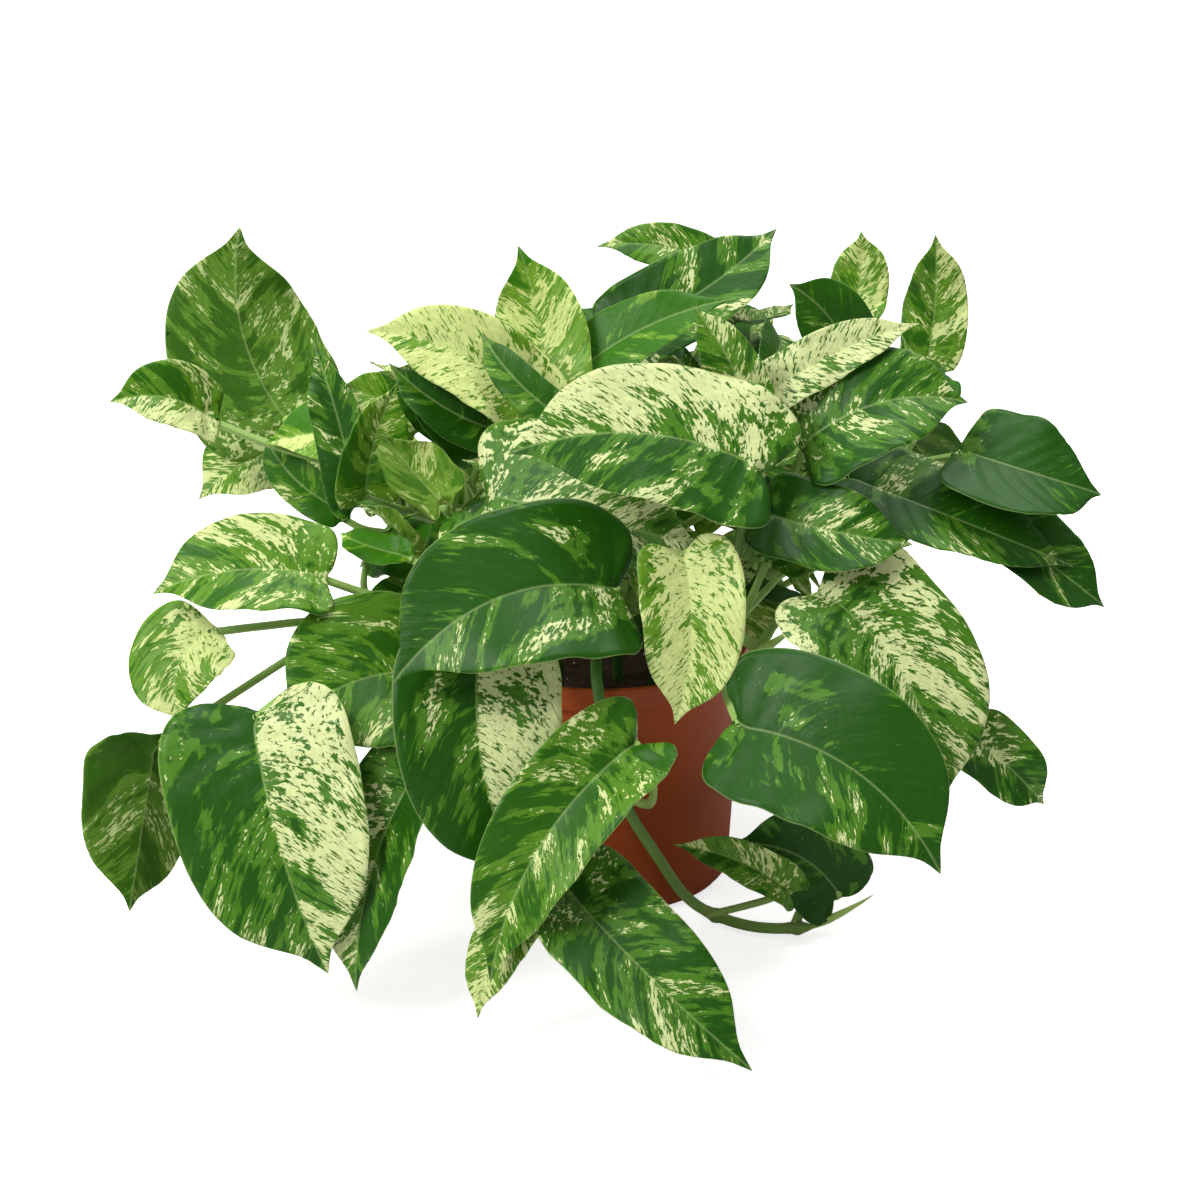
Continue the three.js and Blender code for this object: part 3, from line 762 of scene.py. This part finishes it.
# %% [markdown]
# ## More leaves inside the crown
# A pot like this holds over a hundred leaves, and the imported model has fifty. The rest are smaller,
# stand deeper in the crown and fill the gaps that the eye sees through. Each is a copy of a measured
# blade, posed on a stalk of its own that grows from a vine. A place is drawn, tried against everything
# already there with a search tree of triangles, and kept only where it is clear.

# %% Crown leaves
from mathutils.bvhtree import BVHTree

CROWN = {
    "count": 140, "draws": 21000, "centre": np.array([0.008, 0.03, 0.21]),
    "reach": np.array([0.198, 0.138, 0.107]), "stalk": (0.025, 0.11), "blade": (0.034, 0.088),
    "room": 1.8 * MM, "up_the_vine": (0.25, 0.97), "leaving": (0.3, 1.2), "lifted": (0, 0.8),
    "nod": (-0.7, 0.9), "stray": 0.8, "twist": 0.7, "slim": 0.85,
}
STALK_PLACES = (0, 0.24, 0.48, 0.72, 0.94)  # where the five rings sit on a new stalk's curve
RING_BEARINGS = np.radians([180, 135, 90, 45, 0, -36, -72, -108, -144])  # a ring's points, as in the solids


def blade_frame(rings, tip):
    """Origin and axes (forward, right, up) of a measured blade, and its length."""
    origin = rings[STALK_RINGS - 1].mean(0)
    forward = unit(tip - origin)
    up = rings[STALK_RINGS + 2, 2] - rings[STALK_RINGS + 2, list(RIB)].mean(0)
    up = unit(up - np.dot(up, forward) * forward)
    return origin, np.array([forward, np.cross(forward, up), up]), np.linalg.norm(tip - origin)


def posed_leaf(template, root, leaving, base, forward, up, length):
    """Rings and tip of a copy of a measured blade in a new place, on a new stalk from its root."""
    rings, tip = leaf_shapes[template]
    origin, axes, old_length = blade_frame(rings, tip)
    up = unit(up - np.dot(up, forward) * forward)
    turn = (length / old_length) * axes.T @ np.array([forward, np.cross(forward, up), up])
    span = np.linalg.norm(base - root)
    arriving = unit(forward + up * 0.3)
    handles = np.array([root, root + 0.35 * span * leaving, base - 0.3 * span * arriving, base])
    stalk = []
    for t in STALK_PLACES:
        weights = np.array([(1 - t) ** 3, 3 * t * (1 - t) ** 2, 3 * t * t * (1 - t), t ** 3])
        slopes = np.array([-(1 - t) ** 2, (1 - t) * (1 - 3 * t), t * (2 - 3 * t), t * t])
        ahead = unit(slopes @ handles)
        right = unit(np.cross(ahead, up + 0.01 * forward))
        above = np.cross(right, ahead)
        size = CROWN["slim"] * np.linalg.norm(rings[0, 2] - rings[0].mean(0))
        ring = np.cos(RING_BEARINGS)[:, None] * right + np.sin(RING_BEARINGS)[:, None] * above
        stalk.append(weights @ handles + size * ring)
    blade = base + (rings[STALK_RINGS:] - origin) @ turn
    return np.concatenate([np.array(stalk), blade]), base + (tip - origin) @ turn


def tree_of(points, faces):
    """A search tree with the middle and reach of its points, so that far ones are passed over."""
    spots = np.array(points)
    middle = (spots.min(0) + spots.max(0)) / 2
    return BVHTree.FromPolygons(points, faces), middle, np.linalg.norm(spots - middle, axis=1).max()


def crossed(candidate, standing):
    """Whether a search tree's surface cuts one that stands already."""
    tree, middle, reach = candidate
    return any(np.linalg.norm(middle - centre) < reach + radius and tree.overlap(other)
               for other, centre, radius in standing)


def ring_tree(rings, tip, room):
    """A search tree of a leaf's plain solid, thickened by room on both sides."""
    middle = rings.mean(1, keepdims=True)
    up = unit(rings[:, 2:3] - rings[:, list(RIB)].mean(1, keepdims=True))
    side = np.sign(np.einsum("ijk,ijk->ij", rings - middle, np.broadcast_to(up, rings.shape)))
    thick = rings + room * side[..., None] * up
    points = [*thick.reshape(-1, 3), tip]
    faces = tube_faces(len(rings), RING, inwards=True)
    last = (len(rings) - 1) * RING
    faces += [(last + j, last + (j + 1) % RING, len(points) - 1) for j in range(RING)]
    return tree_of([tuple(p) for p in points], faces)


def node_tree_of(node):
    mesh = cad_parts[node].data
    return tree_of([tuple(v.co) for v in mesh.vertices], [tuple(p.vertices) for p in mesh.polygons])


def direction(azimuth, elevation):
    return np.array([math.cos(azimuth) * math.cos(elevation), math.sin(azimuth) * math.cos(elevation),
                     math.sin(elevation)])


draw = np.random.default_rng(5)
standing = [node_tree_of(node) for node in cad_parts]
templates = ["leaf_centre_5", "leaf_centre_6", "leaf_back_8", "leaf_back_3", "leaf_left_3", "leaf_right_5"]
sources = [name for name in vine_names if name != "vine_trailing"]
crown_leaves = 0
for attempt in range(CROWN["draws"]):
    if crown_leaves == CROWN["count"]:
        break
    path, radius = vine_paths[sources[draw.integers(len(sources))]]
    stem = path[int(draw.uniform(*CROWN["up_the_vine"]) * (len(path) - 1))]
    heading = math.atan2(stem[1] - 0.01, stem[0]) + draw.normal(0, CROWN["stray"])
    leaving = direction(heading, draw.uniform(*CROWN["leaving"]))
    span = draw.uniform(*CROWN["stalk"])
    base = stem + span * unit(leaving + np.array([0, 0, draw.uniform(*CROWN["lifted"])]))
    forward = direction(heading + draw.normal(0, CROWN["twist"]), draw.uniform(*CROWN["nod"]))
    up = direction(heading, 0.5) + np.array([0, -0.5, 0.6])  # blades face outwards, forwards and up
    length = draw.uniform(*CROWN["blade"])
    template = templates[draw.integers(len(templates))]
    seed = draw.random()
    marking = np.clip(draw.normal((0.38, 0.38, 0.35), (0.2, 0.2, 0.25)), 0.03, 0.9)
    root = stem + (radius + 0.2 * MM) * leaving
    rings, tip = posed_leaf(template, root, leaving, base, forward, up, length)
    places = np.concatenate([rings[STALK_RINGS:].reshape(-1, 3), tip[None]])
    if (np.linalg.norm((places - CROWN["centre"]) / CROWN["reach"], axis=1) > 1).any():
        continue
    if crossed(ring_tree(rings[1:], tip, CROWN["room"]), standing):
        continue
    standing.append(ring_tree(rings, tip, CROWN["room"]))
    crown_leaves += 1
    leaf = grow_leaf(f"pothos_crown_leaf_{crown_leaves:02d}", rings, tip, seed, marking)
    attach(leaf, "root")
print("crown leaves placed:", crown_leaves, "in", attempt + 1, "draws")

# %% [markdown]
# ## Soil
# Potting mix is peat and bark crumbs with a few white perlite grains. A displaced disc gives its
# lumps, and separate crumbs on top give the loose, shadowed look that a bump alone can't.

# %% Soil body and crumbs
SOIL = {"dish": 3 * MM, "settled": 0.6 * MM, "clods": (90, 1.4 * MM), "grains": (260, 0.6 * MM)}
soil_radius = soil_high.x

# Damp peat has no gloss. Its tone varies at random and is darkest in the bumps' low places, a painted shade
# between crumbs.
soil_mix = mottled_material(
    "potting_mix_peat_with_painted_shade", {"Scale": 220, "Detail": 6, "Roughness": 0.7},
    [(0.3, "#1d120b"), (0.5, "#3b2518"), (0.68, "#5d3d28"), (0.8, "#8a6a4c")], {"Roughness": 0.95},
    bump=(1, 1.2 * MM))


def soil_height(x, y):
    """Height of the lumpy, dished top of the soil."""
    dish = SOIL["dish"] * (1 - min(1, (math.hypot(x, y) / soil_radius) ** 4))
    (clod_pitch, clod_size), (grain_pitch, grain_size) = SOIL["clods"], SOIL["grains"]
    clods = noise.noise(Vector((x, y, 0)) * clod_pitch) * clod_size
    grains = noise.noise(Vector((x, y, 3)) * grain_pitch) * grain_size
    return soil_high.z - dish + clods + grains - SOIL["settled"]


rings_out, around, taper = 36, 96, 0.88
spokes = [(math.cos(a), math.sin(a)) for a in (2 * math.pi * j / around for j in range(around))]
soil_points = [(0, 0, soil_height(0, 0))]
for i in range(1, rings_out + 1):
    r = soil_radius * i / rings_out
    soil_points += [(r * x, r * y, soil_height(r * x, r * y)) for x, y in spokes]
foot = len(soil_points)
soil_points += [(taper * soil_radius * x, taper * soil_radius * y, soil_low.z) for x, y in spokes]
soil_faces = [(0, 1 + j, 1 + (j + 1) % around) for j in range(around)]
soil_faces += tube_faces(rings_out + 1, around, first=1)
soil_faces.append(tuple(foot + j for j in reversed(range(around))))
soil = build_mesh("potting_mix", np.array(soil_points), soil_faces, [soil_mix])
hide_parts("soil")
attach(soil, "root")

# %% Loose crumbs
CRUMBS = {"bark": (260, 0.9 * MM, 2.6 * MM), "perlite": (26, 0.8 * MM, 1.9 * MM)}  # count, sizes
WALL_GAP = 4 * MM
# Perlite is a chalky white puffed glass, and bark chips are dull brown.
perlite_grain, tree, shader = new_material("perlite_white_grain")
puff = add_node(tree, "TexNoise", Scale=900, Detail=3)
plug(tree, shader, {
    "Base Color": linear("#cfc8b8"), "Roughness": 0.9,
    "Normal": add_node(tree, "Bump", Strength=0.6, Distance=0.3 * MM, Height=puff),
})
bark_chip = mottled_material(
    "bark_chip_brown", {"Scale": 120, "Detail": 2}, [(0.35, "#2a1a10"), (0.5, "#54361f"), (0.65, "#8a6240")],
    {"Roughness": 0.9})
CUBE = np.array([(x, y, z) for x in (-1, 1) for y in (-1, 1) for z in (-1, 1)], dtype=float)
CUBE_FACES = [(0, 1, 3, 2), (4, 6, 7, 5), (0, 4, 5, 1), (2, 3, 7, 6), (0, 2, 6, 4), (1, 5, 7, 3)]
draw = np.random.default_rng(3)
for kind, (count, least, most) in CRUMBS.items():
    points, faces = [], []
    for _ in range(count):
        size = draw.uniform(least, most) * draw.uniform(0.5, 1.0, 3)
        lump = CUBE * size * draw.uniform(0.6, 1.0, (8, 3))
        spin = np.linalg.qr(draw.normal(size=(3, 3)))[0]
        spin *= np.sign(np.linalg.det(spin))
        radius = (soil_radius - WALL_GAP) * math.sqrt(draw.uniform(0.01, 1))
        bearing = draw.uniform(0, 2 * math.pi)
        x, y = radius * math.cos(bearing), radius * math.sin(bearing)
        start = len(points)
        points += list(lump @ spin.T + (x, y, soil_height(x, y) + 0.3 * size.min()))
        faces += [tuple(start + i for i in face) for face in CUBE_FACES]
    skin = perlite_grain if kind == "perlite" else bark_chip
    crumbs = build_mesh(f"potting_mix_{kind}", np.array(points), faces, [skin])
    rounding = crumbs.modifiers.new("round", "SUBSURF")
    rounding.levels = rounding.render_levels = 1
    bpy.context.view_layer.objects.active = crumbs
    bpy.ops.object.modifier_apply(modifier="round")
    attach(crumbs, "root")

# %% [markdown]
# ## Pot
# A grower pot is blow-thin polypropylene, injection moulded: slightly satin, a little uneven, with a
# stepped band under the lip and slots at its foot for drainage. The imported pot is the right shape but
# has flat facets, so its outline is measured and turned again with many more steps.

# %% Pot
POT = {"turns": 168, "bevel": 0.45 * MM, "sharp": math.radians(50)}
SLOT = {"count": 8, "size": (12 * MM, 13 * MM, 7 * MM), "radius": 66 * MM, "top": 3.5 * MM}
# Moulded polypropylene is satin, with faint rings from the mould and soil dust near its foot.
pot_plastic, tree, shader = new_material("pot_moulded_polypropylene")
place = add_node(tree, "TexCoord", output="Object")
mottle = add_node(tree, "TexNoise", Vector=place, Scale=14, Detail=5, Roughness=0.6)
brown = add_node(tree, "ValToRGB", mottle, stops=[(0.3, "#9a3d08"), (0.6, "#a8470f"), (0.8, "#b45218")])
dust = add_node(tree, "TexNoise", Vector=place, Scale=160, Detail=5, Roughness=0.7)
dust_spots = add_node(tree, "Math", dust, 4, -1.5, operation="MULTIPLY_ADD", use_clamp=True)
low_down = add_node(tree, "MapRange", add_node(tree, "SeparateXYZ", place, output="Z"), 0, 25 * MM, 0.22, 0)
dusty = add_node(tree, "Math", low_down, dust_spots, operation="MULTIPLY")
grit = add_node(tree, "TexNoise", Vector=place, Scale=700, Detail=4)
marks = add_node(tree, "TexWave", Vector=place, Scale=190, Distortion=0.3, Detail=2, output="Fac",
                 bands_direction="Z")
relief = add_node(tree, "Math", marks, 0.25, grit, operation="MULTIPLY_ADD")
plug(tree, shader, {
    "Base Color": add_node(tree, "Mix", dusty, _6=brown, _7=linear("#6f5440"), **COLOUR_MIX),
    "Roughness": add_node(tree, "Math", dust, 0.25, 0.38, operation="MULTIPLY_ADD"),
    "IOR": 1.49, "Specular IOR Level": 0.3,
    "Normal": add_node(tree, "Bump", Strength=0.2, Distance=0.15 * MM, Height=relief),
})


def pot_outline():
    """The pot's half section, foot to lip and down inside, walked along one uncut line of the mesh."""
    points, near = welded("pot")
    radii = np.hypot(points[:, 0], points[:, 1])
    bearing = np.round(np.degrees(np.arctan2(points[:, 1], points[:, 0])), 1)
    bearing[radii < 1e-6] = np.nan
    on_line = {b: set(np.flatnonzero((bearing == b) | (radii < 1e-6))) for b in set(bearing[radii > 1e-6])}
    walks = [walk_line(members, near, points) for members in on_line.values()]
    lengths = [len(order) for order in walks if order]
    uncut = max(set(lengths), key=lengths.count)
    order = next(order for order in walks if order and len(order) == uncut)
    return [(radii[i], points[i, 2]) for i in order]


def walk_line(members, near, points):
    """The members in order from the lowest on the axis, or None when they aren't one line."""
    axis = [i for i in members if math.hypot(points[i, 0], points[i, 1]) < 1e-6]
    order = [min(axis, key=lambda i: points[i, 2])]
    while True:
        onwards = [i for i in near[order[-1]] & members if i not in order]
        if not onwards:
            return order if len(order) == len(members) else None
        order.append(min(onwards, key=lambda i: np.linalg.norm(points[i] - points[order[-1]])))


def softened(outline, bevel):
    """Cuts each corner of the outline with a three-point round."""
    corners = [np.array(p) for p in outline]
    soft = [corners[0]]
    for before, corner, after in zip(corners, corners[1:], corners[2:]):
        cut = min(bevel, 0.4 * np.linalg.norm(before - corner), 0.4 * np.linalg.norm(after - corner))
        start, end = corner + cut * unit(before - corner), corner + cut * unit(after - corner)
        soft += [start, 0.25 * start + 0.5 * corner + 0.25 * end, end]
    return soft + [corners[-1]]


outline = softened(pot_outline(), POT["bevel"])
print("pot outline:", len(outline), "points, rim radius", round(max(r for r, z in outline) * 1000, 1), "mm")
turn = np.linspace(0, 2 * np.pi, POT["turns"], endpoint=False)
ring_points = [[(r * math.cos(a), r * math.sin(a), z) for a in turn] for r, z in outline[1:-1]]
pot_points = [(0, 0, outline[0][1])] + [p for ring in ring_points for p in ring] + [(0, 0, outline[-1][1])]
pot_faces = tube_faces(len(ring_points), POT["turns"], first=1, inwards=True)
last = 1 + (len(ring_points) - 1) * POT["turns"]
for j in range(POT["turns"]):
    k = (j + 1) % POT["turns"]
    pot_faces += [(0, 1 + k, 1 + j), (last + j, last + k, len(pot_points) - 1)]
pot = build_mesh("grower_pot", np.array(pot_points), pot_faces, [pot_plastic])

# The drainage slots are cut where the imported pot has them: at the bearings where its foot is missing.
points, _ = welded("pot")
slot_corners = points[np.abs(points[:, 2] - SLOT["top"]) < 0.05 * MM]
bearings = np.arctan2(slot_corners[:, 1], slot_corners[:, 0])
first = np.angle(np.exp(1j * SLOT["count"] * bearings).mean()) / SLOT["count"]
for i in range(SLOT["count"]):
    bpy.ops.mesh.primitive_cube_add(size=1)
    cutter = bpy.context.object
    cutter.scale = SLOT["size"]
    bearing = first + 2 * math.pi * i / SLOT["count"]
    cutter.location = (SLOT["radius"] * math.cos(bearing), SLOT["radius"] * math.sin(bearing), 0)
    cutter.rotation_euler = (0, 0, bearing)
    cut_slot = pot.modifiers.new("slot", "BOOLEAN")
    cut_slot.object = cutter
    cut_slot.solver = "EXACT"
    bpy.context.view_layer.objects.active = pot
    bpy.ops.object.modifier_apply(modifier="slot")
    bpy.data.objects.remove(cutter)
pot.data.shade_smooth()
sharp = pot.modifiers.new("edges", "EDGE_SPLIT")
sharp.split_angle = POT["sharp"]
bpy.ops.object.modifier_apply(modifier="edges")
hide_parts("pot")
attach(pot, "root")
